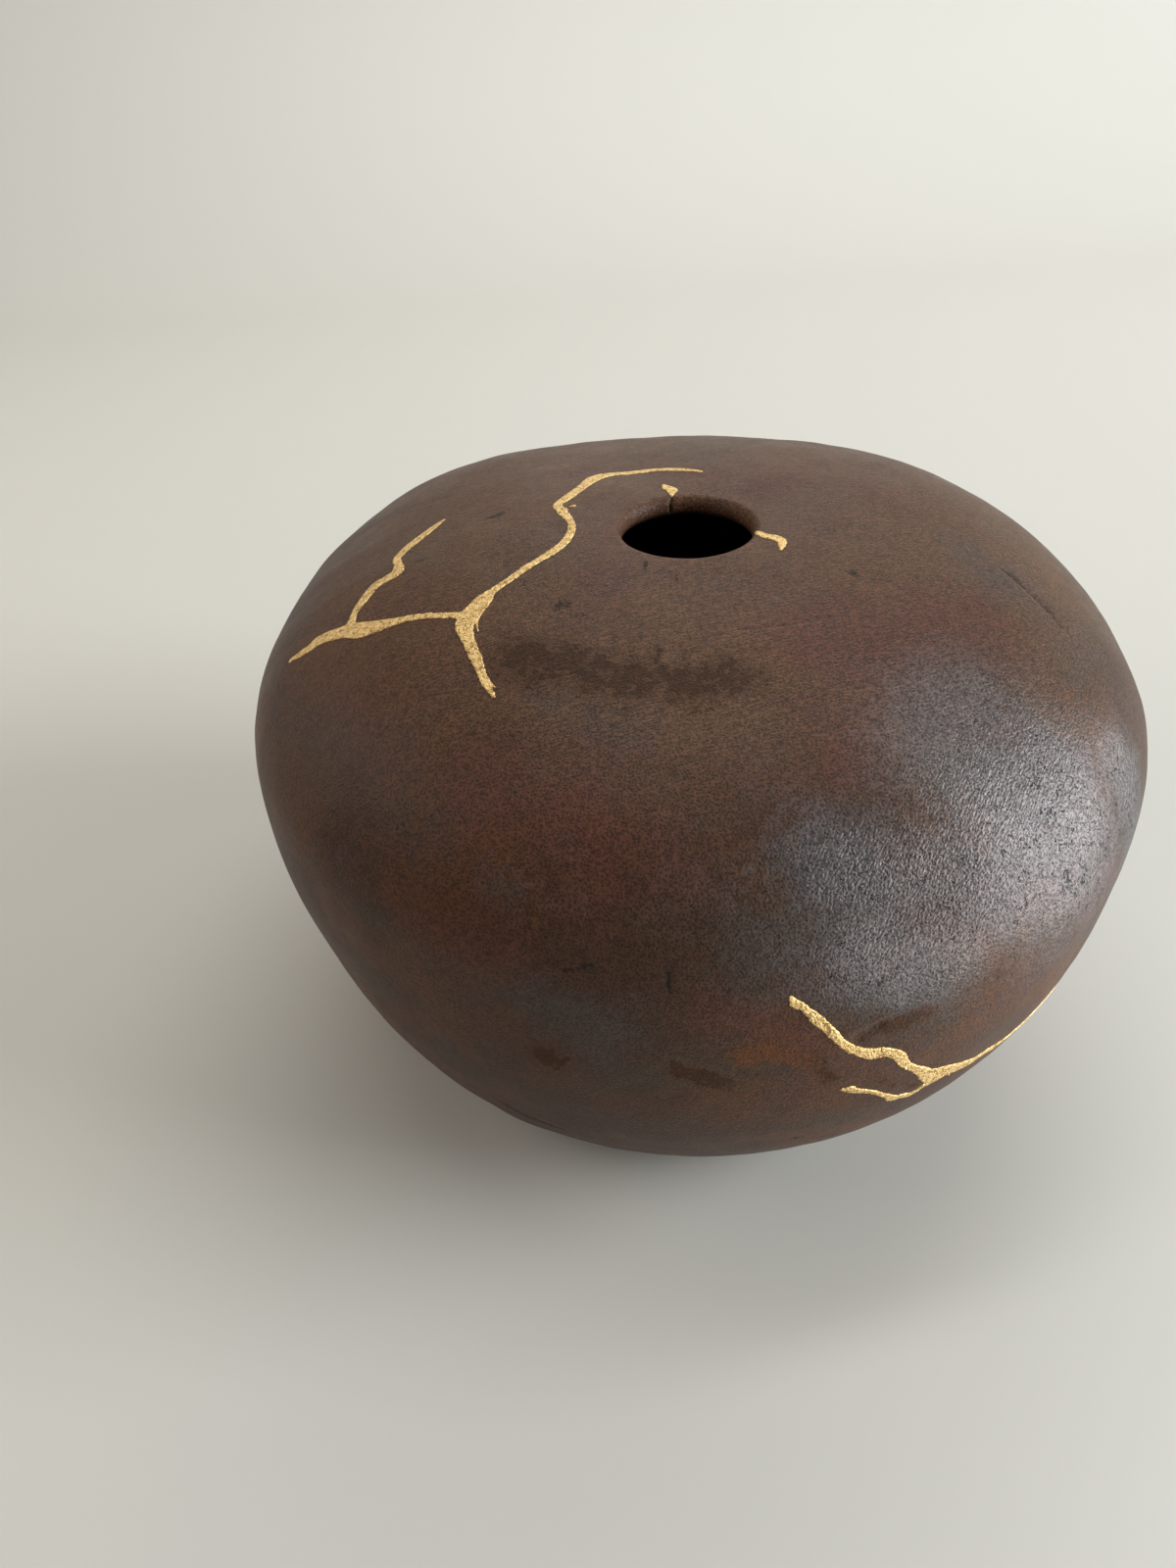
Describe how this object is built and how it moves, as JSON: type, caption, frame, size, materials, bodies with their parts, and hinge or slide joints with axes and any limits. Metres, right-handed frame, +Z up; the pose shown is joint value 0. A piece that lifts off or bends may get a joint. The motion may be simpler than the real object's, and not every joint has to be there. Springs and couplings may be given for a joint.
{
  "type": "raku vase",
  "caption": "Squat, hand-built raku vase with a small round mouth, soft uneven shoulders, a flat underside and raised gold repair lines.",
  "frame": {"origin": "centre of the flat underside, on the surface that the vase stands on", "axes": "+Z up through the mouth, -Y towards the front with the low gold seam at its right, +X to the right"},
  "size_m": [0.3118, 0.3277, 0.2031],
  "materials": {
    "fired_clay": "burnished and waxed, umber with grey-violet and rust clouds, fine leathery grain",
    "gold_leaf": "crinkled gold leaf on a thin raised binder, pitted, with a few bright beads"
  },
  "bodies": {
    "root": {"vase_body": "fired_clay", "gold_seam_shoulder": "gold_leaf", "gold_seam_lower": "gold_leaf", "gold_seam_mouth": "gold_leaf", "gold_patch_mouth": "gold_leaf"}
  },
  "joints": []
}
